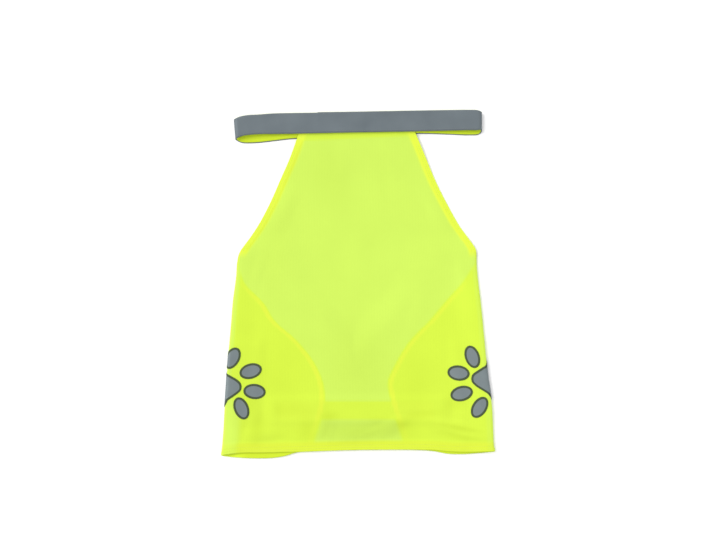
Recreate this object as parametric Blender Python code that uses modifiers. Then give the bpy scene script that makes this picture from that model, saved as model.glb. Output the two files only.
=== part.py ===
"""Dog safety vest, lying flat on its belly side with the back panel up.

The neck points to +Y, the dog's left and right folds to -X and +X, and the table is z = 0.
Lengths in the tables are millimetres. The body cloth is one cut: a back panel whose two belly
wings wrap under it at the side folds and are joined by a belly strap. The neck edge is sewn
inside a flat lying loop of strap with reflective tape on its outside, and a paw print of
reflective patches lies over each side fold.
"""

import math

import bmesh
import bpy
import numpy as np

MM = 0.001

# Walls and the air between them
CLOTH = 1.0
STRAP = 1.0
PATCH = 0.7
SEAM_GAP = 0.3
LAYER_GAP = 1.0
HEM_RISE = 0.5

# Hems turned in along the cut edges, with the width over which the step ends
ARMHOLE_HEM = 6.6
BOTTOM_HEM = 11.4
HEM_STEP = 2.0
HEM_Y = -203.0
HEM_WAVE_REACH = 43.0

# Neck band: 25 mm tape on a strap that is a little narrower
TAPE_WIDTH = 25.0
STRAP_INSET = 0.9
TAPE_JOINT_X = -49.5
TAPE_STEP = 0.5
TAPE_STEP_REACH = 60.0
LOOP_HALF_DEPTH = 4.4
LOOP_HEIGHT = {"left": 8.4, "right": 8.0}
LOOP_LEVEL = 8.0
LOOP_SWELL = 62.0

# Belly strap
BELLY_LEFT, BELLY_RIGHT = -93.8, 88.9
BELLY_TOP, BELLY_BOTTOM = -143.0, -163.6

# Side folds: half depth of the roll, the way round it, and how far it reaches in
FOLD_DEPTH = 3.0
FOLD_ARC = 4.3
ROLL_REACH = 19.0

# Armhole corner: the edge slants round the fold and its roll settles to the table above it
CORNER_Y = 34.8
CORNER_SLANT = 8.4
SLANT_REACH = 60.0
EDGE_SETTLE = 30.0
FOLD_OPENS = 8.0
HEM_GROWS = 12.0

# Where the panel climbs to the neck band, and where its edge hems end under it
NECK_CLIMB_Y, NECK_CLIMB = 148.0, 22.0
NECK_HEM_Y, NECK_HEM_FADE = 168.0, 9.0

# Outline of the back panel seen from above: the armhole edges, then the side folds
PANEL = """
    y       left    right
    192.0   -69.8    64.5
    177.6   -74.4    70.9
    154.0   -82.8    80.7
    125.0   -95.5    92.9
     96.0  -108.4   107.4
     66.9  -124.3   124.2
     56.0  -131.6   132.2
     47.6  -137.7   138.3
     41.5  -142.2   141.8
     34.8  -145.7   142.9
     27.0  -147.3   142.9
      8.8  -148.7   144.2
    -20.0  -152.5   147.6
    -49.2  -154.9   150.6
   -107.3  -159.7   156.2
   -146.0  -162.2   161.2
   -184.8  -164.8   163.3
   -195.0  -165.9   163.8
   -203.0  -167.0   165.3
   -212.0  -167.0   166.0
"""

# Inner edges of the belly wings, which run on from the armhole edges
WINGS = """
    y       left    right
     26.0  -144.6   141.4
      2.2  -139.0   126.0
    -25.7  -113.8   102.0
    -45.0  -101.8    85.8
    -68.0   -76.0    63.4
    -98.3   -52.6    44.2
   -119.4   -43.6    35.3
   -140.6   -41.1    38.6
   -170.9   -47.8    47.0
   -190.2   -53.8    52.8
   -212.0   -57.0    57.0
"""

# Height of the rolled side folds
ROLLS = """
    y      left  right
     34.8   4.2    4.0
    -10.0   4.8    4.6
    -90.0   5.0    5.0
   -150.0   5.4    5.0
   -212.0   5.8    5.2
"""

# Lower edges: of the back panel, and of the wings under it
HEMS = """
    x        top    under
    -166.0  -207.4  -208.9
    -143.0  -204.9  -210.9
    -123.0  -204.7  -211.5
    -104.0  -204.5  -211.0
     -90.0  -204.0  -208.9
     -75.0  -203.8  -204.5
     -60.0  -203.3  -203.5
     -40.0  -202.5  -202.6
     -10.0  -201.6  -201.7
      50.0  -201.1  -201.2
      75.0  -201.2  -201.7
      90.0  -201.4  -202.8
     109.0  -203.2  -206.1
     128.0  -203.9  -206.3
     145.0  -203.6  -205.2
     165.0  -202.8  -203.6
"""

# Edges of the neck band's upper half, and the lower edge of the half beneath it
BAND = """
    x       top    bottom  under
    -150.4  199.0  175.4   173.8
    -142.3  202.3  178.6   170.9
    -132.6  204.1  180.2   170.5
    -122.9  204.6  181.0   170.9
    -103.7  206.1  181.3   173.0
     -84.3  206.8  181.6   175.3
     -49.5  207.6  182.4   177.0
     -11.0  208.2  183.2   178.6
      30.0  208.9  183.9   180.4
      71.8  209.7  184.6   182.0
     110.4  210.2  185.4   181.0
     134.6  210.3  185.9   180.2
     144.4  209.8  186.0   180.7
     149.2  208.2  187.0   182.4
"""

# Largest soft creases of the back panel, each a low ridge
CREASES = """
    x      y      turn  half_length  half_width  height
    112.0  -172.0   -9   42.0         11.0        1.3
    138.0  -187.0   -7   26.0         10.0        1.1
     42.0  -172.0   32   34.0         13.0        1.5
    -40.0  -170.0   62   26.0         14.0        1.3
    -12.0  -186.0    4   40.0         12.0        0.8
   -118.0  -182.0    8   38.0         13.0        1.2
    -90.0   92.0    66   44.0         16.0        1.0
     96.0   84.0   -66   40.0         15.0        0.9
"""

# The toes of a paw print in its own axes, each an ellipse
TOES = """
    along  across  turn   length  width
    -3.7    31.6    53.0   28.0    17.8
    16.4    13.1     9.2   27.6    18.3
    17.9   -12.0   -12.8   27.0    18.4
    -0.5   -30.1   -75.8   28.0    17.7
"""

# Points round the paw's main pad, from its tip between the toes
PAD = """
    along  across
      3.2    -3.1
      2.4     0.8
      0.3     3.7
     -2.5     6.5
     -5.8     9.0
     -9.0    11.4
    -12.0    13.6
    -14.9    16.0
    -17.2    19.3
    -20.0    23.2
    -24.5    25.2
    -29.5    23.4
    -33.0    18.0
    -35.2    10.0
    -35.8     0.0
    -35.2   -10.5
    -33.0   -18.5
    -29.5   -24.0
    -24.5   -26.2
    -20.2   -24.6
    -17.2   -20.9
    -15.3   -18.2
    -12.0   -16.5
     -9.0   -15.0
     -5.8   -13.3
     -2.5   -11.5
      0.4    -9.6
      2.3    -7.2
"""

# Where each paw's middle lies, and which way its toes point
PAWS = {
    "left": {"x": -145.4, "y": -120.9, "turn": 7.5},
    "right": {"x": 139.6, "y": -118.4, "turn": 185.2},
}

# Cloth held up from the table: by the strap, by the paws' undersides, and over the wings
STRAP_MARGIN_X, STRAP_MARGIN_Y, STRAP_SLOPE_X, STRAP_SLOPE_Y = 8.0, 1.0, 18.0, 10.0
PAW_LIFT = PATCH + SEAM_GAP + 0.1
PAW_LIFT_X, PAW_LIFT_TOP, PAW_LIFT_BOTTOM = 33.0, -78.0, -154.0
PAW_SLOPE_X, PAW_SLOPE_Y = 16.0, 22.0
WING_SLOPE = 20.0

# How finely the cloth is divided
ROLL_ANGLES = (0.0, 30.0, 60.0, 90.0)
EDGE_STEPS = (3.6, 5.6, 12.0, 20.0, 29.0)
WING_FOLD_STEPS = (0.0, 8.0, 17.0, 28.0)
WING_EDGE_STEPS = (17.0, 8.6, 6.6, 0.0)
MIDDLE_COLUMNS = 14
WING_COLUMNS = 4
UPPER_STEPS, LOWER_STEPS, JOINT_STEPS, TURN_STEPS = 16, 22, 9, 8
BELLY_STEPS = 14
PAD_CUTS, PAD_PARTS = 12, 8
TOE_CUTS, TOE_PARTS = 9, 5
CLOSEST_CUTS = 1.0
PANEL_ROWS = """
    from    to      rows
    192.0   170.0    3
    170.0   148.0    3
    148.0    34.8    9
"""
SIDE_ROWS = """
    from    to      rows
     34.8  -132.0   13
   -132.0  -142.0    1
   -142.0  -164.6    2
   -164.6  -174.6    1
   -174.6  -189.6    2
   -189.6  -191.6    1
   -191.6  -203.0    1
"""

# Colour, roughness and metallic value of each finish
FINISHES = {
    "fluorescent_knit": ((0.66, 0.94, 0.10), 0.85, 0.0),
    "strap_webbing": ((0.72, 0.92, 0.07), 0.80, 0.0),
    "reflective_tape": ((0.17, 0.20, 0.22), 0.45, 0.35),
    "reflective_film": ((0.21, 0.27, 0.29), 0.45, 0.35),
}


# Tables and smooth steps


def columns(text):
    """A table's columns by name, as arrays in rising order of the first column."""
    lines = [line.split() for line in text.strip().splitlines()]
    rows = sorted([float(cell) for cell in line] for line in lines[1:])
    return dict(zip(lines[0], np.array(rows).T))


def rows_of(text):
    """A table's rows as dictionaries, in the order they are written."""
    lines = [line.split() for line in text.strip().splitlines()]
    return [dict(zip(lines[0], map(float, line))) for line in lines[1:]]


def along(table, name, at):
    """The named column read at a place in the first one, on a smooth curve through the rows."""
    keys = next(iter(table.values()))
    values = table[name]
    slopes = np.gradient(values, keys)
    at = min(max(at, keys[0]), keys[-1])
    i = min(max(int(np.searchsorted(keys, at)) - 1, 0), len(keys) - 2)
    step = keys[i + 1] - keys[i]
    t = (at - keys[i]) / step
    start = (1 + 2 * t) * (1 - t) ** 2 * values[i] + t * (1 - t) ** 2 * step * slopes[i]
    end = t * t * (3 - 2 * t) * values[i + 1] + t * t * (t - 1) * step * slopes[i + 1]
    return float(start + end)


def smooth(t):
    t = min(max(t, 0.0), 1.0)
    return t * t * (3 - 2 * t)


def blend(a, b, share):
    return a + (b - a) * share


def inside(at, low, high, reach):
    """1 between low and high, and down to 0 over the reach outside them."""
    return smooth(1 - max(low - at, at - high, 0.0) / reach)


def spread(start, end, count):
    """Places from start to end, without the start."""
    return [blend(start, end, (k + 1) / count) for k in range(count)]


PANEL, WINGS, ROLLS, HEMS, BAND = map(columns, (PANEL, WINGS, ROLLS, HEMS, BAND))
CREASES, TOES, PAD = map(rows_of, (CREASES, TOES, PAD))
SIDES = {"left": -1.0, "right": 1.0}


# Heights of the cloth's outer face above the table


def under_lift(x, y):
    """How far the lowest cloth is held up by the belly strap and by the paws that wrap under."""
    strap = inside(x, BELLY_LEFT - STRAP_MARGIN_X, BELLY_RIGHT + STRAP_MARGIN_X, STRAP_SLOPE_X)
    strap *= inside(y, BELLY_BOTTOM - STRAP_MARGIN_Y, BELLY_TOP + STRAP_MARGIN_Y, STRAP_SLOPE_Y)
    depth = min(abs(along(PANEL, side, y) - x) for side in SIDES)
    paws = inside(depth, 0, PAW_LIFT_X, PAW_SLOPE_X)
    paws *= inside(y, PAW_LIFT_BOTTOM, PAW_LIFT_TOP, PAW_SLOPE_Y)
    return max((STRAP + SEAM_GAP) * strap, PAW_LIFT * paws)


def over_wings(x, y):
    """1 where the panel lies on a wing, fading out past the wing's inner edge."""
    left = smooth((along(WINGS, "left", y) - x + 2 * WING_SLOPE) / WING_SLOPE)
    right = smooth((x - along(WINGS, "right", y) + 2 * WING_SLOPE) / WING_SLOPE)
    return max(left, right) * (1 - smooth((y - CORNER_Y) / EDGE_SETTLE))


def crease_height(x, y):
    height = 0.0
    for crease in CREASES:
        turn = math.radians(crease["turn"])
        dx, dy = x - crease["x"], y - crease["y"]
        run = abs(dx * math.cos(turn) + dy * math.sin(turn)) / crease["half_length"]
        off = abs(dy * math.cos(turn) - dx * math.sin(turn)) / crease["half_width"]
        height += crease["height"] * smooth(1 - run) * smooth(1 - off)
    return height


def neck_lift(y):
    """The panel climbs over the lower half of the neck band."""
    stack = STRAP + SEAM_GAP + STRAP + SEAM_GAP
    return stack * smooth((y - NECK_CLIMB_Y) / NECK_CLIMB)


def rest_height(x, y):
    """Outer face of the back panel, before its folds roll and its hems thicken."""
    layers = over_wings(x, y) * (CLOTH + LAYER_GAP)
    return CLOTH + under_lift(x, y) + layers + neck_lift(y) + crease_height(x, y)


def roll_top(side, y):
    """Height of a side fold's crest."""
    x = along(PANEL, side, y) - SIDES[side] * FOLD_DEPTH
    return under_lift(x, y) + along(ROLLS, side, y)


def panel_height(x, y):
    """Outer face of the back panel with its rolled sides."""
    height = rest_height(x, y)
    for side, way in SIDES.items():
        at = min(y, CORNER_Y)
        crest = along(PANEL, side, y) - way * FOLD_DEPTH
        rise = roll_top(side, at) - rest_height(along(PANEL, side, at) - way * FOLD_DEPTH, at)
        rise *= 1 - smooth((y - CORNER_Y) / EDGE_SETTLE)
        height += rise * (1 - smooth((crest - x) * way / ROLL_REACH))
    return height


# Hems


def hem_drop(name, x, y):
    """How far a point near the lower edge shifts, so that the edge takes its own outline."""
    return (along(HEMS, name, x) - HEM_Y) * smooth(1 - (y - HEM_Y) / HEM_WAVE_REACH)


def bottom_hem(y):
    return 1 - min(max((y - HEM_Y - BOTTOM_HEM) / HEM_STEP, 0.0), 1.0)


def edge_hem(depth):
    return 1 - min(max((depth - ARMHOLE_HEM) / HEM_STEP, 0.0), 1.0)


def panel_hem(x, y):
    """Share of the hem's thickness on the back panel: 1 on a hem, 0 on plain cloth."""
    depth = min(x - along(PANEL, "left", y), along(PANEL, "right", y) - x)
    under_band = smooth((y - NECK_HEM_Y) / NECK_HEM_FADE)
    armhole = edge_hem(depth) * smooth((y - CORNER_Y) / HEM_GROWS) * (1 - under_band)
    return max(armhole, bottom_hem(y))


# The body cloth, as rows of (point, hem share)


def row_places(table):
    """Every row's y, from the first to the last."""
    rows = rows_of(table)
    places = [rows[0]["from"]]
    for row in rows:
        places += spread(row["from"], row["to"], int(row["rows"]))
    return places


def panel_row(y):
    """The back panel's points from the left fold or edge to the right one."""
    folded = 1 - smooth((y - CORNER_Y) / FOLD_OPENS)
    edges = {}
    for side, way in SIDES.items():
        x_edge = along(PANEL, side, y)
        crest = x_edge - way * FOLD_DEPTH
        points = []
        for angle in map(math.radians, ROLL_ANGLES):
            x = x_edge - way * FOLD_DEPTH * (1 - math.cos(angle))
            low = along(ROLLS, side, y) / 2 * (1 - math.sin(angle))
            flat = panel_height(x, y)
            hem = panel_hem(x, y)
            rolled = panel_height(crest, y) - low + HEM_RISE * hem * math.sin(angle)
            points.append((x, y, blend(flat + HEM_RISE * hem, rolled, folded), hem))
        for step in EDGE_STEPS:
            x = crest - way * step
            hem = panel_hem(x, y)
            points.append((x, y, panel_height(x, y) + HEM_RISE * hem, hem))
        edges[side] = points
    start, end = edges["left"][-1][0], edges["right"][-1][0]
    middle = []
    for x in spread(start, end, MIDDLE_COLUMNS)[:-1]:
        hem = panel_hem(x, y)
        middle.append((x, y, panel_height(x, y) + HEM_RISE * hem, hem))
    row = edges["left"] + middle + edges["right"][::-1]
    return [(x, y + hem_drop("top", x, y), z, hem) for x, y, z, hem in row]


def wing_places(width):
    """How far each wing column lies from the fold, for a wing this wide."""
    fixed = WING_FOLD_STEPS[-1] + WING_EDGE_STEPS[0]
    squeeze = min(1.0, width / (1.3 * fixed))
    near = [step * squeeze for step in WING_FOLD_STEPS]
    far = [width - step * squeeze for step in WING_EDGE_STEPS]
    return near + spread(near[-1], far[0], WING_COLUMNS)[:-1] + far


def wing_row(side, y):
    """A wing's points from the fold's widest place, round under it, to the wing's inner edge."""
    way = SIDES[side]
    slant = CORNER_SLANT * (1 - min((CORNER_Y - y) / SLANT_REACH, 1.0)) ** 2
    x_edge = along(PANEL, side, y)
    points = []
    for angle in map(math.radians, ROLL_ANGLES[1:-1]):
        x = x_edge - way * FOLD_DEPTH * (1 - math.cos(angle))
        turned = math.degrees(angle) / 90
        y_here = y - slant * turned
        drop = blend(hem_drop("top", x, y), hem_drop("under", x, y), 0.5 + turned / 2)
        z = under_lift(x, y) + along(ROLLS, side, y) / 2 * (1 - math.sin(angle))
        points.append((x, y_here + drop, z, bottom_hem(y)))
    y_under = y - slant
    start = x_edge - way * FOLD_DEPTH
    width = max((start - along(WINGS, side, y_under)) * way, 0.0)
    for place in wing_places(width):
        x = start - way * place
        hem = max(edge_hem(width - place), bottom_hem(y))
        drop = hem_drop("under", x, y)
        points.append((x, y_under + drop, under_lift(x, y_under), hem))
    return points


def body_rows():
    """Rows of the whole cut, each with the place of its first point among the columns."""
    wing_columns = len(wing_row("left", CORNER_Y))
    rows = [(wing_columns, panel_row(y)) for y in row_places(PANEL_ROWS)[:-1]]
    for y in row_places(SIDE_ROWS):
        left, right = wing_row("left", y), wing_row("right", y)
        rows.append((0, left[::-1] + panel_row(y) + right))
    return rows


# Making meshes


def new_object(name, collection, finish):
    mesh = bpy.data.meshes.new(name)
    piece = bpy.data.objects.new(name, mesh)
    collection.objects.link(piece)
    mesh.materials.append(finish)
    return piece


def sheet(piece, rows, closed=False):
    """Joins rows of points, the first of them at its own column, into one surface."""
    bm = bmesh.new()
    hems = bm.verts.layers.float.new("hem")
    grid = []
    for first, points in rows:
        made = {}
        for k, point in enumerate(points):
            vert = bm.verts.new([value * MM for value in point[:3]])
            vert[hems] = point[3] if len(point) > 3 else 0.0
            made[first + k] = vert
        grid.append(made)
    pairs = list(zip(grid, grid[1:])) + ([(grid[-1], grid[0])] if closed else [])
    for upper, lower in pairs:
        for k in sorted(upper):
            if k + 1 in upper and k in lower and k + 1 in lower:
                bm.faces.new((upper[k], lower[k], lower[k + 1], upper[k + 1]))
    bmesh.ops.remove_doubles(bm, verts=bm.verts, dist=0.02 * MM)
    bm.normal_update()
    bm.to_mesh(piece.data)
    bm.free()
    return piece


def wall(piece, thickness, offset=-1.0, hem=0.0):
    """Thickens a surface, inwards unless told otherwise, and more where it is hemmed."""
    solid = piece.modifiers.new("Wall", "SOLIDIFY")
    solid.thickness = (thickness + hem) * MM
    solid.offset = offset
    solid.use_even_offset = True
    if hem:
        group = piece.vertex_groups.new(name="hem")
        for k, value in enumerate(piece.data.attributes["hem"].data):
            group.add([k], value.value, "REPLACE")
        solid.vertex_group = "hem"
        solid.thickness_vertex_group = thickness / (thickness + hem)
    piece.data.shade_smooth()


def body_cloth(collection, finish, rows):
    piece = sheet(new_object("body_cloth", collection, finish), rows)
    wall(piece, CLOTH, hem=HEM_RISE)


# Neck band


def band_path(inset):
    """The loop seen from its lower edge: rows of x, z and how far round it lies, from the joint."""
    stack = 2 * (STRAP + SEAM_GAP) + CLOTH + SEAM_GAP + 2 * STRAP + SEAM_GAP
    ends = {"left": BAND["x"][0], "right": BAND["x"][-1]}

    def height(x):
        rise = 0.0
        for side, way in SIDES.items():
            reach = (ends[side] - x) * way
            rise += (LOOP_HEIGHT[side] - stack) * (1 - smooth((reach - LOOP_LEVEL) / LOOP_SWELL))
        return stack + rise

    def end_turn(side, angles):
        way = SIDES[side]
        half = LOOP_HEIGHT[side] / 2
        for angle in angles:
            x = ends[side] - way * (LOOP_HALF_DEPTH - (LOOP_HALF_DEPTH - inset) * math.cos(angle))
            yield x, half + (half - inset) * math.sin(angle), 0.5 - math.degrees(angle) / 180

    turn = [math.radians(90 - 180 * k / TURN_STEPS) for k in range(TURN_STEPS + 1)]
    first, last = ends["left"] + LOOP_HALF_DEPTH, ends["right"] - LOOP_HALF_DEPTH
    joint = TAPE_JOINT_X + SEAM_GAP / 2
    path = [(x, height(x) - inset, 0.0) for x in [joint] + spread(joint, last, UPPER_STEPS)[:-1]]
    path += end_turn("right", turn)
    path += [(x, inset, 1.0) for x in spread(last, first, LOWER_STEPS)[:-1]]
    path += end_turn("left", turn[::-1])
    joint -= SEAM_GAP
    path += [(x, height(x) - inset, 0.0) for x in spread(first, joint, JOINT_STEPS)]
    return path


def band_rows(inset, narrow, step):
    """The band's points across its width, row by row round the loop."""
    rows = []
    for x, z, under in band_path(inset):
        share = smooth(under)
        bottom = blend(along(BAND, "bottom", x), along(BAND, "under", x), share) + narrow
        top = blend(along(BAND, "top", x), along(BAND, "under", x) + TAPE_WIDTH, share) - narrow
        if x < TAPE_JOINT_X and not under:
            shift = step * (1 - smooth((TAPE_JOINT_X - x) / TAPE_STEP_REACH))
            bottom, top = bottom - shift, top - shift
        rows.append((0, [(x, blend(bottom, top, part / 3), z) for part in range(4)]))
    return rows


def neck_tape(collection, finish):
    rows = band_rows(0.0, 0.0, TAPE_STEP)
    wall(sheet(new_object("neck_tape", collection, finish), rows), STRAP)


def neck_strap(collection, finish):
    rows = band_rows(STRAP + SEAM_GAP, STRAP_INSET, 0.0)
    wall(sheet(new_object("neck_strap", collection, finish), rows[:-1], closed=True), STRAP)


def belly_strap(collection, finish):
    """A flat strap under both wings, the lowest piece of all."""
    rows = []
    for x in [BELLY_LEFT] + spread(BELLY_LEFT, BELLY_RIGHT, BELLY_STEPS):
        rows.append((0, [(x, blend(BELLY_TOP, BELLY_BOTTOM, part / 2), 0.0) for part in range(3)]))
    wall(sheet(new_object("belly_strap", collection, finish), rows), STRAP)


# Paw prints


def skin(rows, side):
    """The cloth round one fold, as rows of distance from the fold's widest line and the point."""
    top = len(ROLL_ANGLES) + len(EDGE_STEPS)
    under = len(wing_row(side, CORNER_Y))
    found = []
    for first, points in rows:
        if first:
            continue
        points = [np.array(point[:3]) for point in (points if side == "left" else points[::-1])]
        points = points[: under + top + MIDDLE_COLUMNS // 2]
        steps = [np.linalg.norm(b - a) for a, b in zip(points, points[1:])]
        walk = np.cumsum([0.0] + steps)
        found.append((walk - walk[under], np.array(points)))
    return found


def on_skin(skin_rows, distance, y):
    """The point of the cloth at a distance round the fold, at this y."""
    def at_row(row):
        walk, points = row
        return np.array([np.interp(distance, walk, points[:, axis]) for axis in range(3)])

    upper = at_row(skin_rows[0])
    for row in skin_rows[1:]:
        lower = at_row(row)
        if lower[1] <= y:
            share = (upper[1] - y) / (upper[1] - lower[1])
            return blend(upper, lower, share)
        upper = lower
    return upper


def toe_outline(toe):
    """An ellipse in the paw's own axes."""
    turn = math.radians(toe["turn"])
    points = []
    for angle in np.linspace(0, 2 * math.pi, 72, endpoint=False):
        a, b = toe["length"] / 2 * math.cos(angle), toe["width"] / 2 * math.sin(angle)
        points.append((toe["along"] + a * math.cos(turn) - b * math.sin(turn),
                       toe["across"] + a * math.sin(turn) + b * math.cos(turn)))
    return points


def pad_outline():
    """A smooth closed curve through the points round the main pad."""
    corners = [np.array((point["along"], point["across"])) for point in PAD]
    ring = []
    for k in range(len(corners)):
        a, b, c, d = (corners[(k + step) % len(corners)] for step in (-1, 0, 1, 2))
        for t in (0.0, 0.25, 0.5, 0.75):
            bend = 2 * a - 5 * b + 4 * c - d + t * (3 * b - 3 * c + d - a)
            ring.append(tuple(b + t / 2 * (c - a + t * bend)))
    return ring


def placed(outline, side):
    """A paw outline turned to its place: distance in from the fold, and y."""
    paw, way = PAWS[side], SIDES[side]
    turn = math.radians(paw["turn"])
    points = []
    for a, b in outline:
        x = paw["x"] + a * math.cos(turn) - b * math.sin(turn)
        y = paw["y"] + a * math.sin(turn) + b * math.cos(turn)
        points.append(((along(PANEL, side, y) - x) * way - FOLD_DEPTH + FOLD_ARC, y))
    return points


def chord(outline, at):
    """Lowest and highest y where a line at this distance crosses an outline."""
    found = []
    for (x0, y0), (x1, y1) in zip(outline, outline[1:] + outline[:1]):
        if (x0 - at) * (x1 - at) <= 0 and x0 != x1:
            found.append(blend(y0, y1, (at - x0) / (x1 - x0)))
    return min(found), max(found)


def patch_stations(outline, fold_places, count):
    """Distances at which a patch is cut across: its own, and those of the cloth's own columns."""
    low, high = min(x for x, _ in outline), max(x for x, _ in outline)
    own = [blend(low, high, (1 - math.cos(math.pi * k / count)) / 2) for k in range(count + 1)]
    shared = [place for place in fold_places if low + CLOSEST_CUTS < place < high - CLOSEST_CUTS]
    kept = [place for place in own[1:-1] if all(abs(place - other) > CLOSEST_CUTS for other in shared)]
    return [own[0]] + sorted(kept + shared) + [own[-1]]


def patch(piece, outline, side, skin_rows, cuts, parts):
    """A thin patch on the cloth's own points, moved out by the seam gap."""
    middle = skin_rows[len(skin_rows) // 2][0]
    start, reach = int(np.argmin(np.abs(middle))), len(ROLL_ANGLES) - 1
    fold_places = [float(place) for place in middle[start - reach : start + reach + 1]]
    rows = []
    for place in patch_stations(outline, fold_places, cuts):
        low, high = chord(outline, place)
        points = [on_skin(skin_rows, place, blend(low, high, k / parts)) for k in range(parts + 1)]
        rows.append((0, [tuple(point) for point in points]))
    sheet(piece, rows if side == "left" else rows[::-1])
    bm = bmesh.new()
    bm.from_mesh(piece.data)
    bm.normal_update()
    for vert in bm.verts:
        vert.co += vert.normal * SEAM_GAP * MM
    bm.to_mesh(piece.data)
    bm.free()
    wall(piece, PATCH, offset=1.0)


def paw_print(side, rows, collection, finish):
    skin_rows = skin(rows, side)
    piece = new_object(f"paw_{side}_pad", collection, finish)
    patch(piece, placed(pad_outline(), side), side, skin_rows, PAD_CUTS, PAD_PARTS)
    for number, toe in enumerate(TOES, 1):
        piece = new_object(f"paw_{side}_toe_{number}", collection, finish)
        patch(piece, placed(toe_outline(toe), side), side, skin_rows, TOE_CUTS, TOE_PARTS)


# The whole vest


def finish_material(name):
    colour, roughness, metallic = FINISHES[name]
    material = bpy.data.materials.new(name)
    material.use_nodes = True
    shader = material.node_tree.nodes["Principled BSDF"]
    shader.inputs["Base Color"].default_value = (*colour, 1.0)
    shader.inputs["Roughness"].default_value = roughness
    shader.inputs["Metallic"].default_value = metallic
    return material


def centre(collection):
    """Moves every piece so that the middle of the vest's own box stands over the origin."""
    points = np.array([vert.co[:2] for piece in collection.objects for vert in piece.data.vertices])
    shift = (points.min(axis=0) + points.max(axis=0)) / 2
    for piece in collection.objects:
        for vert in piece.data.vertices:
            vert.co.x -= shift[0]
            vert.co.y -= shift[1]


def main():
    for leftover in list(bpy.data.objects):
        bpy.data.objects.remove(leftover, do_unlink=True)
    collection = bpy.data.collections.new("dog_safety_vest")
    bpy.context.scene.collection.children.link(collection)
    finishes = {name: finish_material(name) for name in FINISHES}
    rows = body_rows()
    body_cloth(collection, finishes["fluorescent_knit"], rows)
    neck_tape(collection, finishes["reflective_tape"])
    neck_strap(collection, finishes["strap_webbing"])
    belly_strap(collection, finishes["strap_webbing"])
    for side in SIDES:
        paw_print(side, rows, collection, finishes["reflective_film"])
    centre(collection)


main()
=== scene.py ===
"""Looks of a dog safety vest that lies flat on its belly side, with the back panel up.

It is one cut of thin fluorescent knit with turned and stitched hems, a neck loop of yellow strap
under grey reflective tape, a belly strap, and a paw print of reflective film over each side fold.
Lengths in the tables are millimetres in the vest's own outline. The neck points to +Y, the
dog's left and right folds to -X and +X, and the table is z = 0.
"""

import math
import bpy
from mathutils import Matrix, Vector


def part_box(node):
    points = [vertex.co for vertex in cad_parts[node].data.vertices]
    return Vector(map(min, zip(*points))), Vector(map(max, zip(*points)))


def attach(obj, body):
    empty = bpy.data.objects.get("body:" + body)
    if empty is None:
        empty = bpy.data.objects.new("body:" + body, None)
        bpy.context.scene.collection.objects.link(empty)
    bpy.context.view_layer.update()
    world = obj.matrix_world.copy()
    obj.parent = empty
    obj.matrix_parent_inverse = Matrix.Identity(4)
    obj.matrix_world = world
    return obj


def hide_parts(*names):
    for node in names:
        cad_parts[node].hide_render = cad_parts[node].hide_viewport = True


bl_info = {
    "name": "Dog Safety Vest",
    "version": (1, 0, 0),
    "blender": (4, 5, 0),
    "location": "View3D > Sidebar > Vest",
    "description": "Builds the cloth, bands, stitching and reflective patches of a dog safety vest",
    "category": "Object",
}

import bmesh
import bpy
import numpy as np
from mathutils import Vector

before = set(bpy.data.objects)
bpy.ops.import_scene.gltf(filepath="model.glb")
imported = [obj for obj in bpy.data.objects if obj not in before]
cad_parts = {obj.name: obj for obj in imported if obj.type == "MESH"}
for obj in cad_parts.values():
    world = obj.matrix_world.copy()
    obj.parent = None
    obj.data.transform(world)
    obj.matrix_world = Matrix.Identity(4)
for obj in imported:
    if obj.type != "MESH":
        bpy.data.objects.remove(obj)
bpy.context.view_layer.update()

MM = 0.001
SIDES = {"left": -1.0, "right": 1.0}

# Walls and the air between them, as the solids have them
CLOTH = 1.0
STRAP = 1.0
PATCH = 0.7
SEAM_GAP = 0.3
LAYER_GAP = 1.0
HEM_RISE = 0.5

# Hems turned in along the cut edges, with the width over which the step ends
ARMHOLE_HEM = 6.6
BOTTOM_HEM = 11.4
HEM_STEP = 2.0
HEM_Y = -203.0
HEM_WAVE_REACH = 43.0

# Rows of stitches: how far each lies from its cut edge
ARMHOLE_ROWS = (3.0, 5.6)
BOTTOM_ROWS = (2.8, 7.1)
TAPE_ROWS = (2.0, 23.0)

# Widths over which a layer behind the cloth shows through, softer towards the lower edge
LAYER_EDGE = 3.4
LAYER_BLUR, LAYER_BLUR_Y, LAYER_BLUR_REACH = 1.6, -138.0, 40.0
STRAP_UNDER_WING = 0.12
NECK_OVERLAP = 1.0

# A wing's own hem seen through the panel: it starts below the corner and fades at the lower edge
WING_HEM_Y, WING_HEM_GROWS, WING_HEM_FADED = 20.0, 50.0, 0.25

# Layers of cloth to the eye on a wing and on its lower hem, where the hem's own layers and painted shade
# under the panel's hem make the deepest yellow, and how much painted light lifts that hem
WING_LAYERS, WING_HEM_LAYERS, WING_HEM_LIGHT = 2, 4, 0.02

# How far in a turned hem shows, the width over which it ends, and how much painted light, shining through
# it, brightens it
HEM_SHOWS = 7.4
ARMHOLE_HEM_EDGE, ARMHOLE_HEM_LIGHT = 4.4, 0.075
BOTTOM_HEM_EDGE = 5.0
NECK_CORNER_Y, NECK_CORNER_EDGE = 170.0, 3.0

# Neck band: 25 mm tape on a strap that is a little narrower
TAPE_WIDTH = 25.0
STRAP_INSET = 0.9
TAPE_JOINT_X = -49.5
TAPE_STEP = 0.5
TAPE_STEP_REACH = 60.0
JOINT_WIDTH = 0.6
BAND_LEAN, BAND_LEAN_REACH = 2.1, 40.0
LOOP_HALF_DEPTH = 4.4
LOOP_HEIGHT = {"left": 8.4, "right": 8.0}
LOOP_LEVEL = 8.0
LOOP_SWELL = 62.0

# Belly strap
BELLY_LEFT, BELLY_RIGHT = -93.8, 88.9
BELLY_TOP, BELLY_BOTTOM = -143.0, -163.6
BELLY_LIFT = 0.2
BOX_INSET, BOX_LENGTH = 2.2, 17.0

# Side folds: half depth of the roll, the way round it, and how far it reaches in
FOLD_DEPTH = 3.0
FOLD_ARC = 4.3
ROLL_REACH = 30.0

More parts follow.
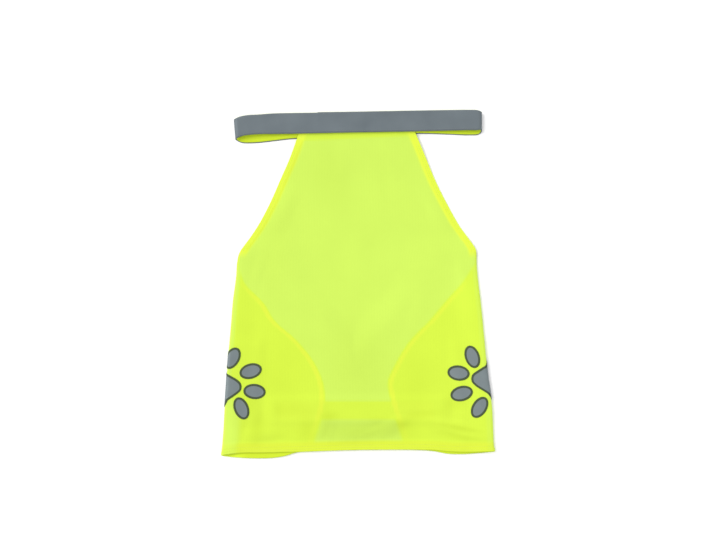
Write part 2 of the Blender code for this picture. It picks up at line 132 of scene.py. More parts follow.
# Armhole corner: the edge slants round the fold and its roll settles to the table above it
CORNER_Y = 34.8
CORNER_SLANT = 8.4
SLANT_REACH = 60.0
EDGE_SETTLE = 30.0
FOLD_OPENS = 8.0
HEM_GROWS = 12.0

# Where the panel climbs to the neck band, and where its edge hems end under it
NECK_CLIMB_Y, NECK_CLIMB = 118.0, 54.0
NECK_HEM_Y, NECK_HEM_FADE = 168.0, 9.0

# Cloth held up from the table: by the strap, by the paws' undersides, and over the wings
STRAP_MARGIN_X, STRAP_MARGIN_Y, STRAP_SLOPE_X, STRAP_SLOPE_Y = 8.0, 1.0, 18.0, 10.0
PAW_CLEAR = 0.1
PAW_LIFT = PATCH + SEAM_GAP + PAW_CLEAR
PAW_LIFT_X, PAW_LIFT_TOP, PAW_LIFT_BOTTOM = 33.0, -78.0, -154.0
PAW_SLOPE_X, PAW_SLOPE_Y = 16.0, 22.0
WING_SLOPE = 45.0
UNDER_HEM_LIFT, UNDER_HEM_REACH, UNDER_HEM_START = 1.2, 18.0, 14.0

# Outline of the back panel seen from above: the armhole edges, then the side folds
PANEL = """
    y       left    right
     192.0   -69.8   64.5
     177.6   -74.4   70.9
     154.0   -82.8   80.7
     125.0   -95.5   92.9
      96.0  -108.4  107.4
      66.9  -124.3  124.2
      56.0  -131.6  132.2
      47.6  -137.7  138.3
      41.5  -142.2  141.8
      34.8  -145.7  142.9
      27.0  -147.3  142.9
       8.8  -148.7  144.2
     -20.0  -152.5  147.6
     -49.2  -154.9  150.6
    -107.3  -159.7  156.2
    -146.0  -162.2  161.2
    -184.8  -164.8  163.3
    -195.0  -165.9  163.8
    -203.0  -167.0  165.3
    -212.0  -167.0  166.0
"""

# Inner edges of the belly wings, which run on from the armhole edges
WINGS = """
    y       left    right
      26.0  -144.6  141.4
       2.2  -139.0  126.0
     -25.7  -113.8  102.0
     -45.0  -101.8   85.8
     -68.0   -76.0   63.4
     -98.3   -52.6   44.2
    -119.4   -43.6   35.3
    -140.6   -41.1   38.6
    -170.9   -47.8   47.0
    -190.2   -53.8   52.8
    -212.0   -57.0   57.0
"""

# Height of the rolled side folds
ROLLS = """
    y       left  right
      34.8   4.2    4.0
     -10.0   4.8    4.6
     -90.0   5.0    5.0
    -150.0   5.4    5.0
    -212.0   5.8    5.2
"""

# Lower edges: of the back panel, and of the wings under it
HEMS = """
    x       top     under
    -166.0  -207.4  -208.9
    -143.0  -204.9  -210.9
    -123.0  -204.7  -211.5
    -104.0  -204.5  -211.0
     -90.0  -204.0  -208.9
     -75.0  -203.8  -204.5
     -60.0  -203.3  -203.5
     -40.0  -202.5  -202.6
     -10.0  -201.6  -201.7
      50.0  -201.1  -201.2
      75.0  -201.2  -201.7
      90.0  -201.4  -202.8
     109.0  -203.2  -206.1
     128.0  -203.9  -206.3
     145.0  -203.6  -205.2
     165.0  -202.8  -203.6
"""

# Edges of the neck band's upper half, and the lower edge of the half beneath it
BAND = """
    x       top    bottom  under
    -150.4  199.0   175.4  173.8
    -142.3  202.3   178.6  170.9
    -132.6  204.1   180.2  170.5
    -122.9  204.6   181.0  170.9
    -103.7  206.1   181.3  173.0
     -84.3  206.8   181.6  175.3
     -49.5  207.6   182.4  177.0
     -11.0  208.2   183.2  178.6
      30.0  208.9   183.9  180.4
      71.8  209.7   184.6  182.0
     110.4  210.2   185.4  181.0
     134.6  210.3   185.9  180.2
     144.4  209.8   186.0  180.7
     149.2  208.2   187.0  182.4
"""

# Soft creases of the back panel: each an oval ridge or, with a height below nothing, a trough.
# long and wide are half its length and half its width, and turn is in degrees.
CREASES = """
    x       y       turn  long  wide  height
     112.0  -172.0    -9  42.0  11.0     1.3
     138.0  -187.0    -7  26.0  10.0     1.1
      42.0  -172.0    32  34.0  13.0     1.5
     -40.0  -170.0    62  26.0  14.0     1.3
     -12.0  -186.0     4  40.0  12.0     0.8
    -118.0  -182.0     8  38.0  13.0     1.2
     -90.0    92.0    66  44.0  16.0     1.0
      96.0    84.0   -66  40.0  15.0     0.9
"""

# Finer creases than the solids have, in the same columns
FINE_CREASES = """
    x       y       turn  long  wide  height
     120.0  -181.0   -13  30.0   5.0    0.55
     140.0  -176.0    -5  22.0   4.0    0.45
     104.0  -184.0    -4  22.0   4.5   -0.35
     152.0  -189.0   -10  14.0   3.2    0.45
      58.0  -158.0     5  36.0   5.0   -0.45
      20.0  -178.0    24  30.0   6.0    0.50
     -34.0  -182.0    70  22.0   6.0    0.40
     -72.0  -186.0   -12  26.0   6.0    0.35
    -104.0  -188.0     6  30.0   5.0   -0.35
    -138.0  -176.0    70  30.0   6.0   -0.30
    -120.0    20.0    74  46.0   9.0    0.35
     126.0     8.0   -76  40.0   9.0    0.35
     -20.0   142.0    82  44.0  14.0    0.30
      34.0   120.0    98  50.0  12.0   -0.30
       0.0    20.0    86  70.0  18.0    0.35
     -58.0   -30.0   104  60.0  15.0   -0.30
      70.0   -40.0    72  60.0  14.0    0.30
"""

# Soft marks of shade on the back panel, in the same columns, with the share they lighten it by
MARKS = """
    x       y       turn  long  wide  share
       6.0  -180.0     1  92.0  22.0  -0.120
       0.0  -100.0    90  80.0  60.0  -0.045
     -36.0  -160.0    10  18.0   9.0  -0.060
      46.0  -168.0   -12  26.0   9.0  -0.045
    -124.0  -177.0    80  34.0  15.0  -0.075
     -64.0  -176.0    86  30.0  16.0  -0.045
     120.0  -178.0    -6  46.0  15.0  -0.040
     -78.0  -153.0     0  44.0  14.0  -0.040
    -157.0  -180.0    88  56.0  16.0   0.075
    -152.0   -30.0    84  90.0   9.0   0.050
     -97.0  -153.0    90  14.0   9.0  -0.030
     -95.0  -118.0    80  80.0  50.0  -0.030
     -80.0  -182.0     4  60.0  16.0  -0.025
      66.0  -130.0    84  60.0  34.0  -0.030
      76.0  -158.0     8  40.0   7.0  -0.045
     112.0  -166.0    -6  40.0   6.0   0.025
     124.0  -174.5   -10  34.0   4.0  -0.050
     128.0  -186.5    -4  36.0   6.0  -0.060
     122.0  -180.0    -9  30.0   4.0   0.020
     117.0  -145.0    10  22.0  13.0  -0.045
     -42.0  -166.0    84  34.0  13.0  -0.060
      27.0  -170.0   -14  26.0  11.0  -0.045
    -130.0  -145.0    80  20.0  11.0  -0.055
     126.0   -10.0   -80  60.0  30.0   0.022
    -128.0   -14.0    76  50.0  22.0   0.016
     -36.0   132.0   -70  60.0  34.0  -0.022
    -102.0    40.0    78  90.0  30.0  -0.014
      78.0   110.0   -64  60.0  22.0   0.012
      40.0    40.0    70  60.0  40.0   0.010
"""

# Painted light: a paler rim along the side folds, where light shines through the roll, wider towards the
# lower edge
FOLD_RIM = {"left": 12.0, "right": 2.0}
FOLD_RIM_SHARE = {"left": 0.65, "right": 0.35}
FOLD_RIM_LEAST = 5.0
FOLD_RIM_Y, FOLD_RIM_GROWS = -128.0, 34.0
FOLD_RIM_EDGE, FOLD_RIM_BLUR = 3.0, 0.5
FOLD_LIGHT_GROWS = 20.0

# Light that shines through the right fold's far side, and into the fold's open left corner
FAR_FOLD_LIGHT, FAR_FOLD_REACH = 0.16, 2.4
CORNER_LIGHT, CORNER_LIGHT_X, CORNER_LIGHT_REACH = 0.22, -150.0, 16.0

# The toes of a paw print in its own axes, each an ellipse
TOES = """
    along  across  turn   length  width
     -3.7    31.6   53.0    28.0   17.8
     16.4    13.1    9.2    27.6   18.3
     17.9   -12.0  -12.8    27.0   18.4
     -0.5   -30.1  -75.8    28.0   17.7
"""

# Points round the paw's main pad, from its tip between the toes
PAD = """
    along  across
      3.2    -3.1
      2.4     0.8
      0.3     3.7
     -2.5     6.5
     -5.8     9.0
     -9.0    11.4
    -12.0    13.6
    -14.9    16.0
    -17.2    19.3
    -20.0    23.2
    -24.5    25.2
    -29.5    23.4
    -33.0    18.0
    -35.2    10.0
    -35.8     0.0
    -35.2   -10.5
    -33.0   -18.5
    -29.5   -24.0
    -24.5   -26.2
    -20.2   -24.6
    -17.2   -20.9
    -15.3   -18.2
    -12.0   -16.5
     -9.0   -15.0
     -5.8   -13.3
     -2.5   -11.5
      0.4    -9.6
      2.3    -7.2
"""

# Where each paw's middle lies, and which way its toes point
PAWS = {
    "left": {"x": -145.4, "y": -120.9, "turn": 7.5},
    "right": {"x": 139.6, "y": -118.4, "turn": 185.2},
}

# How finely the surfaces are divided
ROLL_TURNS = np.linspace(0.0, 90.0, 9)
EDGE_STEPS = (1.2, 2.6, 3.6, 4.6, 5.6, 7.4, 9.4, 11.6, 14.0, 16.4, 18.8, 21.2, 23.6, 26.0, 29.0)
WING_FOLD_STEPS = (0.0, 1.2, 2.6, 4.2, 6.2, 8.6, 11.2, 14.0, 17.0, 20.4, 24.2, 28.0)
WING_EDGE_STEPS = (17.0, 14.0, 11.4, 9.6, 8.6, 7.6, 6.6, 5.6, 4.4, 3.0, 1.5, 0.0)
MIDDLE_COLUMNS = 112
WING_COLUMNS = 26
PANEL_ROWS = """
    from   to     rows
    192.0  148.0    20
    148.0   34.8    50
"""
SIDE_ROWS = """
    from    to      rows
      34.8    20.0    10
      20.0  -164.6    80
    -164.6  -189.6    12
    -189.6  -191.6     2
    -191.6  -194.2     2
    -194.2  -198.6     4
    -198.6  -203.0     4
"""
UPPER_STEPS, LOWER_STEPS, JOINT_STEPS, TURN_STEPS = 110, 140, 50, 24
BAND_PARTS = 12
BELLY_STEPS, BELLY_PARTS = 92, 10
OUTLINE_POINTS = 120
PATCH_RINGS = 11
PAD_PARTS = 8

# A wing narrower than this many times its end columns squeezes them
WING_SQUEEZE = 1.3

# Points of a surface that are closer than this become one
MERGE = 0.02

# Further than any edge lies
FAR = 1e4

# The width of table in view, and the camera over its middle
VIEW_WIDTH = 866.4
VIEW_MIDDLE = (-0.1, 17.3)
LENS, SENSOR = 85.0, 36.0
VIEW_LEVEL = 6.0
VIEW_END = 20000.0
FLOOR_SIZE = 6000.0
FLOOR_DROP = 0.3
KEY_FROM, KEY_SPREAD = (-1.5, 0.9, 1.5), 45.0


# Tables and smooth steps


def columns(text):
    """A table's columns by name, as arrays in rising order of the first column."""
    lines = [line.split() for line in text.strip().splitlines()]
    rows = sorted([float(cell) for cell in line] for line in lines[1:])
    return dict(zip(lines[0], np.array(rows).T))


def rows_of(text):
    """A table's rows as dictionaries, in the order they are written."""
    lines = [line.split() for line in text.strip().splitlines()]
    return [dict(zip(lines[0], map(float, line))) for line in lines[1:]]


def along(table, name, at):
    """The named column read at places in the first one, on a smooth curve through the rows."""
    keys = next(iter(table.values()))
    values = table[name]
    slopes = np.gradient(values, keys)
    at = np.clip(at, keys[0], keys[-1])
    i = np.clip(np.searchsorted(keys, at) - 1, 0, len(keys) - 2)
    step = keys[i + 1] - keys[i]
    t = (at - keys[i]) / step
    start = (1 + 2 * t) * (1 - t) ** 2 * values[i] + t * (1 - t) ** 2 * step * slopes[i]
    end = t * t * (3 - 2 * t) * values[i + 1] + t * t * (t - 1) * step * slopes[i + 1]
    return start + end


def smooth(t):
    t = np.clip(t, 0.0, 1.0)
    return t * t * (3 - 2 * t)


def blend(a, b, share):
    return a + (b - a) * share


def inside(at, low, high, reach):
    """1 between low and high, and down to 0 over the reach outside them."""
    return smooth(1 - np.maximum(np.maximum(low - at, at - high), 0.0) / reach)


def spread(start, end, count):
    """Places from start to end, without the start."""
    return [blend(start, end, (k + 1) / count) for k in range(count)]


def walked(points, axis=0):
    """Distance along lines of points, from their first, where missing points add nothing."""
    steps = np.linalg.norm(np.diff(points, axis=axis), axis=-1)
    start = np.zeros_like(steps.take([0], axis=axis))
    return np.concatenate([start, np.nancumsum(steps, axis=axis)], axis=axis)


def on_line(walk, line, at):
    """A line's values at this distance along it."""
    return np.array([np.interp(at, walk, column) for column in line.T])


PANEL, WINGS, ROLLS, HEMS, BAND = map(columns, (PANEL, WINGS, ROLLS, HEMS, BAND))
CREASES = rows_of(CREASES) + rows_of(FINE_CREASES)
TOES, PAD, MARKS = map(rows_of, (TOES, PAD, MARKS))

# The solids stand with the middle of their box over the origin, which shifts every outline
BELLY_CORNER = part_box("belly_strap")[0] / MM
SHIFT = np.array([BELLY_CORNER.x - BELLY_LEFT, BELLY_CORNER.y - BELLY_BOTTOM, 0.0])


# Heights of the cloth's outer face above the table


def under_lift(x, y):
    """How far the lowest cloth is held up by the belly strap and by the paws that wrap under."""
    strap = inside(x, BELLY_LEFT - STRAP_MARGIN_X, BELLY_RIGHT + STRAP_MARGIN_X, STRAP_SLOPE_X)
    strap = strap * inside(y, BELLY_BOTTOM - STRAP_MARGIN_Y, BELLY_TOP + STRAP_MARGIN_Y, STRAP_SLOPE_Y)
    depths = [np.abs(along(PANEL, side, y) - x) for side in SIDES]
    paws = inside(np.minimum(*depths), 0, PAW_LIFT_X, PAW_SLOPE_X)
    paws = paws * inside(y, PAW_LIFT_BOTTOM, PAW_LIFT_TOP, PAW_SLOPE_Y)
    return np.maximum((STRAP + SEAM_GAP) * strap, PAW_LIFT * paws)


def wing_depth(side, x, y):
    """How far a place lies inside a wing's inner edge."""
    return (x - along(WINGS, side, y)) * SIDES[side]


def over_wings(x, y):
    """1 where the panel lies on a wing, fading out past the wing's inner edge."""
    near = [smooth((wing_depth(side, x, y) + 2 * WING_SLOPE) / WING_SLOPE) for side in SIDES]
    return np.maximum(*near) * (1 - smooth((y - CORNER_Y) / EDGE_SETTLE))


def ovals(table, name, x, y):
    """A table's soft ovals added up, each with its full value in its middle and none at its rim."""
    total = 0.0
    for oval in table:
        turn = math.radians(oval["turn"])
        dx, dy = x - oval["x"], y - oval["y"]
        run = np.abs(dx * math.cos(turn) + dy * math.sin(turn)) / oval["long"]
        off = np.abs(dy * math.cos(turn) - dx * math.sin(turn)) / oval["wide"]
        total = total + oval[name] * smooth(1 - run) * smooth(1 - off)
    return total


def neck_lift(y):
    """The panel climbs over the lower half of the neck band."""
    stack = STRAP + SEAM_GAP + STRAP + SEAM_GAP
    return stack * smooth((y - NECK_CLIMB_Y) / NECK_CLIMB)


def rest_height(x, y):
    """Outer face of the back panel, before its folds roll and its hems thicken."""
    layers = over_wings(x, y) * (CLOTH + LAYER_GAP)
    return CLOTH + under_lift(x, y) + layers + neck_lift(y) + ovals(CREASES, "height", x, y)


def roll_top(side, y):
    """Height of a side fold's crest."""
    x = along(PANEL, side, y) - SIDES[side] * FOLD_DEPTH
    return under_lift(x, y) + along(ROLLS, side, y)


def panel_height(x, y):
    """Outer face of the back panel with its rolled sides."""
    height = rest_height(x, y)
    at = np.minimum(y, CORNER_Y)
    for side, way in SIDES.items():
        crest = along(PANEL, side, y) - way * FOLD_DEPTH
        rise = roll_top(side, at) - rest_height(along(PANEL, side, at) - way * FOLD_DEPTH, at)
        rise = rise * (1 - smooth((y - CORNER_Y) / EDGE_SETTLE))
        height = height + rise * (1 - smooth((crest - x) * way / ROLL_REACH))
    return height


# Hems


def hem_drop(name, x, y):
    """How far a point near the lower edge shifts, so that the edge takes its own outline."""
    return (along(HEMS, name, x) - HEM_Y) * smooth(1 - (y - HEM_Y) / HEM_WAVE_REACH)


def bottom_hem(y):
    return 1 - np.clip((y - HEM_Y - BOTTOM_HEM) / HEM_STEP, 0.0, 1.0)


def edge_hem(depth):
    return 1 - np.clip((depth - ARMHOLE_HEM) / HEM_STEP, 0.0, 1.0)


def panel_depth(x, y):
    """How far a place of the back panel lies from its nearer side edge."""
    return np.minimum(x - along(PANEL, "left", y), along(PANEL, "right", y) - x)


def panel_hem(x, y):
    """Share of the hem's thickness on the back panel: 1 on a hem, 0 on plain cloth."""
    under_band = smooth((y - NECK_HEM_Y) / NECK_HEM_FADE)
    armhole = edge_hem(panel_depth(x, y)) * smooth((y - CORNER_Y) / HEM_GROWS) * (1 - under_band)
    return np.maximum(armhole, bottom_hem(y))


# How many layers of cloth lie behind a place, which shows through as a deeper yellow


def layers_behind(x, y):
    """Layers under the back panel: the wings, their turned hems, the strap and the neck band."""
    low = smooth((LAYER_BLUR_Y - y) / LAYER_BLUR_REACH)
    edge = LAYER_EDGE * (1 + LAYER_BLUR * low)
    hem = smooth((WING_HEM_Y - y) / WING_HEM_GROWS) * blend(1.0, WING_HEM_FADED, low)
    layers = inside(y, along(BAND, "under", x) - NECK_OVERLAP, FAR, LAYER_EDGE)
    for side in SIDES:
        depth = wing_depth(side, x, y)
        layers = layers + inside(depth, edge / 2, FAR, edge)
        layers = layers + hem * inside(depth, LAYER_EDGE / 2, ARMHOLE_HEM - LAYER_EDGE / 4, edge / 2)
        # A fold's rim counts fewer layers behind it: painted light shining through the roll
        layers = layers - FOLD_RIM_SHARE[side] * fold_rim_light(side, x, y)
    strap = inside(x, BELLY_LEFT, BELLY_RIGHT, LAYER_EDGE)
    strap = strap * inside(y, BELLY_BOTTOM + LAYER_EDGE / 4, BELLY_TOP - LAYER_EDGE / 4, LAYER_EDGE)
    return layers + strap * blend(STRAP_UNDER_WING, 1.0, smooth(1 - layers))


def fold_rim_light(side, x, y):
    """1 on the rim of painted light along a side fold."""
    reach = FOLD_RIM[side] * smooth((FOLD_RIM_Y - y) / FOLD_RIM_GROWS)
    edge = FOLD_RIM_EDGE + FOLD_RIM_BLUR * reach
    paler = inside(np.abs(along(PANEL, side, y) - x), 0.0, FOLD_RIM_LEAST + reach - edge / 4, edge)
    return paler * smooth((CORNER_Y - y) / FOLD_LIGHT_GROWS)


def armhole_share(x, y):
    """1 on a turned armhole hem as the eye sees it, down to the corner at the fold."""
    across = 1 - smooth((panel_depth(x, y) - HEM_SHOWS) / ARMHOLE_HEM_EDGE)
    return across * smooth((y - CORNER_Y + HEM_GROWS / 2) / HEM_GROWS)


def turned_share(x, y):
    """How far a place of the back panel is a turned hem to the eye: the hems and the neck's corners."""
    corner = inside(y, NECK_CORNER_Y, FAR, NECK_CORNER_EDGE)
    corner = corner * inside(panel_depth(x, y), 0.0, HEM_SHOWS, NECK_CORNER_EDGE)
    armhole = np.maximum(armhole_share(x, y), corner)
    bottom = 1 - smooth((y - HEM_Y - BOTTOM_HEM + BOTTOM_HEM_EDGE / 2) / BOTTOM_HEM_EDGE)
    # The painted light on a fold's rim also pales the bottom hem
    for side, share in FOLD_RIM_SHARE.items():
        bottom = bottom * (1 - share * fold_rim_light(side, x, y))
    return np.maximum(armhole, bottom)


def painted_light_and_shade(x, y):
    """Painted light and painted shade as a share of the cloth's colour: painted shade where it dips, painted
    light where it bulges, on the armhole hems and on the right fold's far side.
    """
    share = 1.0 + ARMHOLE_HEM_LIGHT * armhole_share(x, y)
    far_side = 1 - smooth((along(PANEL, "right", y) - x) / FAR_FOLD_REACH)
    share = share + FAR_FOLD_LIGHT * far_side * smooth((CORNER_Y - y) / FOLD_LIGHT_GROWS)
    return share + ovals(MARKS, "share", x, y)


# The body cloth, as grids of rows by columns


def row_places(table):
    """Every row's y, from the first to the last."""
    rows = rows_of(table)
    places = [rows[0]["from"]]
    for row in rows:
        places += spread(row["from"], row["to"], int(row["rows"]))
    return np.array(places)


def panel_grid(y):
    """The back panel's points with their hem share, from the left fold or edge to the right."""
    y = y[:, None]
    folded = 1 - smooth((y - CORNER_Y) / FOLD_OPENS)
    turn = np.radians(ROLL_TURNS)[None, :]
    parts, ends = {}, {}
    for side, way in SIDES.items():
        edge = along(PANEL, side, y)
        crest = edge - way * FOLD_DEPTH
        x = edge - way * FOLD_DEPTH * (1 - np.cos(turn))
        hem = panel_hem(x, y)
        flat = panel_height(x, y) + HEM_RISE * hem
        low = along(ROLLS, side, y) / 2 * (1 - np.sin(turn))
        rolled = panel_height(crest, y) - low + HEM_RISE * hem * np.sin(turn)
        roll = np.stack([x, y + 0 * x, blend(flat, rolled, folded), hem], axis=-1)
        x = crest - way * np.array(EDGE_STEPS)[None, :]
        parts[side] = np.concatenate([roll, flat_part(x, y)], axis=1)
        ends[side] = x[:, -1:]
    share = np.array(spread(0.0, 1.0, MIDDLE_COLUMNS)[:-1])[None, :]
    middle = flat_part(blend(ends["left"], ends["right"], share), y)
    grid = np.concatenate([parts["left"], middle, parts["right"][:, ::-1]], axis=1)
    grid[..., 1] += hem_drop("top", grid[..., 0], grid[..., 1])
    return grid


def flat_part(x, y):
    hem = panel_hem(x, y)
    return np.stack([x, y + 0 * x, panel_height(x, y) + HEM_RISE * hem, hem], axis=-1)


def wing_places(width):
    """How far each wing column lies from the fold, for wings this wide."""
    near, far = np.array(WING_FOLD_STEPS)[None, :], np.array(WING_EDGE_STEPS)[None, :]
    squeeze = np.minimum(1.0, width / (WING_SQUEEZE * (near[0, -1] + far[0, 0])))
    near, far = near * squeeze, width - far * squeeze
    share = np.array(spread(0.0, 1.0, WING_COLUMNS)[:-1])[None, :]
    return np.concatenate([near, blend(near[:, -1:], far[:, :1], share), far], axis=1)


def wing_grid(side, y):
    """A wing's points from the fold's widest place, round under it, to its inner edge."""
    way = SIDES[side]
    y = y[:, None]
    slant = CORNER_SLANT * (1 - np.minimum((CORNER_Y - y) / SLANT_REACH, 1.0)) ** 2
    edge = along(PANEL, side, y)
    turn = np.radians(ROLL_TURNS[1:-1])[None, :]
    turned = np.degrees(turn) / 90
    x = edge - way * FOLD_DEPTH * (1 - np.cos(turn))
    drop = blend(hem_drop("top", x, y), hem_drop("under", x, y), 0.5 + turned / 2)
    z = under_lift(x, y) + along(ROLLS, side, y) / 2 * (1 - np.sin(turn))
    roll = np.stack([x, y - slant * turned + drop, z, bottom_hem(y) + 0 * x], axis=-1)
    y_under = y - slant
    start = edge - way * FOLD_DEPTH
    width = np.maximum((start - along(WINGS, side, y_under)) * way, 0.0)
    places = wing_places(width)
    x = start - way * places
    hem = np.maximum(edge_hem(width - places), bottom_hem(y))
    y_flat = y_under + hem_drop("under", x, y)
    lift = UNDER_HEM_LIFT * smooth(1 - (y - HEM_Y) / UNDER_HEM_REACH) * smooth(places / UNDER_HEM_START)
    flat = np.stack([x, y_flat, under_lift(x, y_under + 0 * x) + lift, hem], axis=-1)
    return np.concatenate([roll, flat], axis=1)


class Cloth:
    """The whole cut as a grid: wing, fold, panel, fold and wing, with gaps above the wings."""

    def __init__(self):
        upper, lower = row_places(PANEL_ROWS)[:-1], row_places(SIDE_ROWS)
        wings = {side: wing_grid(side, lower) for side in SIDES}
        self.wing_columns = wings["left"].shape[1]
        blank = np.full((len(upper), self.wing_columns, 4), np.nan)
        top = np.concatenate([blank, panel_grid(upper), blank], axis=1)
        side_rows = [wings["left"][:, ::-1], panel_grid(lower), wings["right"]]
        grid = np.concatenate([top, np.concatenate(side_rows, axis=1)], axis=0)
        self.places = np.concatenate([upper, lower])
        self.points = grid[..., :3]
        self.hem = grid[..., 3]
        self.first_side_row = len(upper)
        self.normals = outward(self.points)
        self.walk = self.widths()

    def widths(self):
        """Distance along each row, from the middle column."""
        walk = walked(self.points, axis=1)
        return walk - walk[:, walk.shape[1] // 2, None]

    def looks(self):
        """Layers to the eye, share of a turned hem, and shade at each point of the cut."""
        x, y = self.points[..., 0], self.places[:, None] + 0 * self.points[..., 1]
        wings = np.zeros(x.shape, bool)
        wings[:, : self.wing_columns] = wings[:, -self.wing_columns :] = True
        lower = bottom_hem(y)
        corner = CORNER_LIGHT * inside(x, -FAR, CORNER_LIGHT_X, CORNER_LIGHT_REACH)
        # On a wing's lower hem the turned hem's colour is left out, so that the deep yellow paints the shade
        # under the panel's hem; painted light lifts it a little, and more in the open left corner
        return {
            "layers": np.where(wings, blend(WING_LAYERS, WING_HEM_LAYERS, lower), 1 + layers_behind(x, y)),
            "turned": np.where(wings, self.hem * (1 - lower), turned_share(x, y)),
            "painted_light_and_shade": np.where(wings, 1 + (WING_HEM_LIGHT + corner) * lower, painted_light_and_shade(x, y)),
        }


def outward(points):
    """Unit normals of a grid of points, away from the cloth's inner face."""
    across = np.empty_like(points)
    across[:, 1:-1] = points[:, 2:] - points[:, :-2]
    across[:, 0] = points[:, 1] - points[:, 0]
    across[:, -1] = points[:, -1] - points[:, -2]
    down = np.empty_like(points)
    down[1:-1] = points[2:] - points[:-2]
    down[0] = points[1] - points[0]
    down[-1] = points[-1] - points[-2]
    normals = np.cross(down, across)
    return normals / np.maximum(np.linalg.norm(normals, axis=2, keepdims=True), 1e-9)


# Meshes from grids


def new_piece(name, points, faces, material):
    """A new object of one material, from points in the vest's own outline."""
    mesh = bpy.data.meshes.new(name)
    mesh.from_pydata(((points + SHIFT) * MM).tolist(), [], faces)
    mesh.materials.append(material)
    piece = bpy.data.objects.new(name, mesh)
    bpy.context.scene.collection.objects.link(piece)
    return piece


def surface(name, points, uv, material, closed=False, **attributes):
    """Joins a grid of points, some of them missing, into one surface with its UV map."""
    index = np.arange(points.shape[0] * points.shape[1]).reshape(points.shape[:2])
    if closed:
        index = np.concatenate([index, index[:1]])
    corners = index[:-1, :-1], index[1:, :-1], index[1:, 1:], index[:-1, 1:]
    quads = np.stack(corners, axis=-1).reshape(-1, 4)
    points = points.reshape(-1, 3)
    quads = quads[~np.isnan(points[quads]).any(axis=(1, 2))]
    used, quads = np.unique(quads, return_inverse=True)
    quads = quads.reshape(-1, 4)
    piece = new_piece(name, points[used], quads.tolist(), material)
    mesh = piece.data
    uv_map = mesh.uv_layers.new(name="cloth_uv")
    uv_map.data.foreach_set("uv", uv.reshape(-1, 2)[used][quads.reshape(-1)].reshape(-1))
    for key, values in attributes.items():
        layer = mesh.attributes.new(key, "FLOAT", "POINT")
        layer.data.foreach_set("value", values.reshape(-1)[used].astype(np.float32))
    bm = bmesh.new()
    bm.from_mesh(mesh)
    bmesh.ops.remove_doubles(bm, verts=bm.verts, dist=MERGE * MM)
    bm.to_mesh(mesh)
    bm.free()
    return piece


def apply_modifiers(piece):
    bpy.ops.object.select_all(action="DESELECT")
    piece.select_set(True)
    bpy.context.view_layer.objects.active = piece
    for modifier in list(piece.modifiers):
        bpy.ops.object.modifier_apply(modifier=modifier.name)


def wall(piece, thickness, hem=0.0):
    """Thickens a surface inwards, and more where it is hemmed."""
    solid = piece.modifiers.new("Wall", "SOLIDIFY")
    solid.thickness = (thickness + hem) * MM
    solid.offset = -1.0
    if hem:
        group = piece.vertex_groups.new(name="hem")
        for k, value in enumerate(piece.data.attributes["hem"].data):
            group.add([k], value.value, "REPLACE")
        solid.vertex_group = "hem"
        solid.thickness_vertex_group = thickness / (thickness + hem)
    apply_modifiers(piece)
    piece.data.shade_smooth()
    piece.vertex_groups.clear()
    return piece


def settle(piece, slot, *nodes):
    """Puts a finished piece on the vest's body and hides the solids it stands for; the finish it is given is
    not used.
    """
    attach(piece, "root")
    if nodes:
        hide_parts(*nodes)
    return piece


def metres_uv(across, down):
    """A UV map in metres, moved so that the whole cut has positive numbers."""
    return np.stack(np.broadcast_arrays(across, down), axis=-1) * MM + 0.5


# Neck band


def band_path(inset):
    """The loop seen from its lower edge: rows of x, z and how far round it lies, from the joint."""
    stack = 2 * (STRAP + SEAM_GAP) + CLOTH + SEAM_GAP + 2 * STRAP + SEAM_GAP
    ends = {"left": BAND["x"][0], "right": BAND["x"][-1]}

    def height(x):
        rise = 0.0
        for side, way in SIDES.items():
            reach = (ends[side] - x) * way
            rise += (LOOP_HEIGHT[side] - stack) * (1 - smooth((reach - LOOP_LEVEL) / LOOP_SWELL))
        return stack + rise

    def end_turn(side, angles):
        way = SIDES[side]
        half = LOOP_HEIGHT[side] / 2
        for angle in angles:
            x = ends[side] - way * (LOOP_HALF_DEPTH - (LOOP_HALF_DEPTH - inset) * math.cos(angle))
            yield x, half + (half - inset) * math.sin(angle), 0.5 - math.degrees(angle) / 180

    turn = [math.radians(90 - 180 * k / TURN_STEPS) for k in range(TURN_STEPS + 1)]
    first, last = ends["left"] + LOOP_HALF_DEPTH, ends["right"] - LOOP_HALF_DEPTH
    upper = [TAPE_JOINT_X] + spread(TAPE_JOINT_X, last, UPPER_STEPS)[:-1]
    path = [(x, height(x) - inset, 0.0) for x in upper]
    path += end_turn("right", turn)
    path += [(x, inset, 1.0) for x in spread(last, first, LOWER_STEPS)[:-1]]
    path += end_turn("left", turn[::-1])
    path += [(x, height(x) - inset, 0.0) for x in spread(first, TAPE_JOINT_X - JOINT_WIDTH, JOINT_STEPS)]
    return np.array(path)


def band_grid(inset, narrow, step):
    """The band's points across its width, row by row round the loop."""
    x, z, under = band_path(inset).T
    share = smooth(under)
    bottom = blend(along(BAND, "bottom", x), along(BAND, "under", x), share) + narrow
    top = blend(along(BAND, "top", x), along(BAND, "under", x) + TAPE_WIDTH, share) - narrow
    shift = step * (1 - smooth((TAPE_JOINT_X - x) / TAPE_STEP_REACH)) * ((x < TAPE_JOINT_X) & (under == 0))
    part = np.linspace(0.0, 1.0, BAND_PARTS + 1)[None, :]
    y = blend(bottom[:, None], (top - shift)[:, None], part)
    lean = BAND_LEAN * smooth(1 - (x - BAND["x"][0]) / BAND_LEAN_REACH)[:, None]
    return np.stack([x[:, None] + lean * (0.5 - part), y, z[:, None] + 0 * y], axis=-1)


def band_uv(points):
    across = np.linspace(0.0, TAPE_WIDTH, points.shape[1])
    return metres_uv(walked(points[:, 0])[:, None], across[None, :])


# Stitches


STITCH_LENGTH, STITCH_PITCH = 2.6, 2.9
STITCH_WIDTH, STITCH_HEIGHT = 0.5, 0.3
STITCH_SIDES, STITCH_RINGS = 6, 4
SEAM_START = 4


